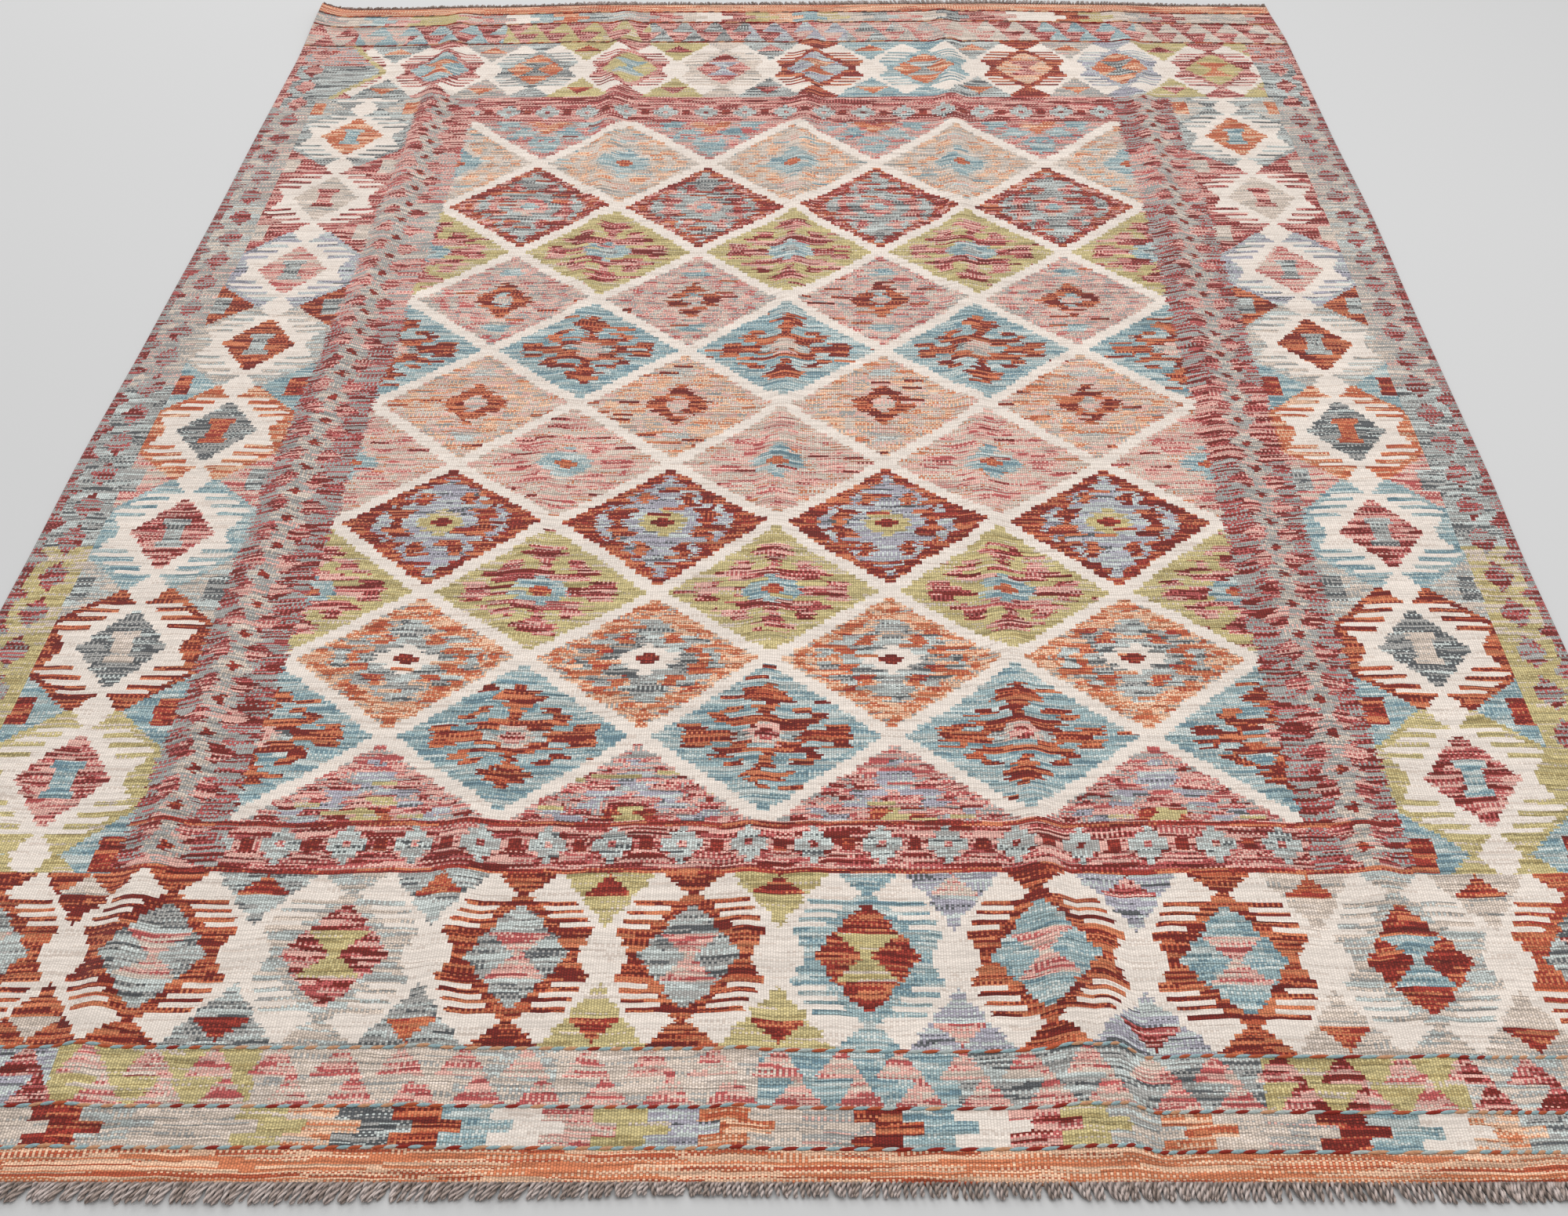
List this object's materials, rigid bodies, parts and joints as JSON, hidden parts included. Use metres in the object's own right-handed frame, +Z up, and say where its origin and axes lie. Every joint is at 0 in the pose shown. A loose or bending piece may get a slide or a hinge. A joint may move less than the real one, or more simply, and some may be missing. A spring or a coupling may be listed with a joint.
{
  "type": "kilim rug",
  "caption": "Flat-woven wool kilim rug with a stepped diamond lattice, comb-edged diamond borders, low storage creases and a short knotted fringe at each end.",
  "frame": {"origin": "on the floor under the middle of the rug, fringes included", "axes": "+Y along the rug from the near end to the far end, +X across it, +Z up from the floor"},
  "size_m": [2.012, 2.9624, 0.0187],
  "materials": {
    "woven_wool": "matte handspun wool tapestry weave in many colours",
    "warp_wool": "matte two-ply taupe wool yarn"
  },
  "bodies": {
    "root": {"kilim_cloth": "woven_wool", "fringe_near": "warp_wool", "fringe_far": "warp_wool"}
  },
  "joints": []
}
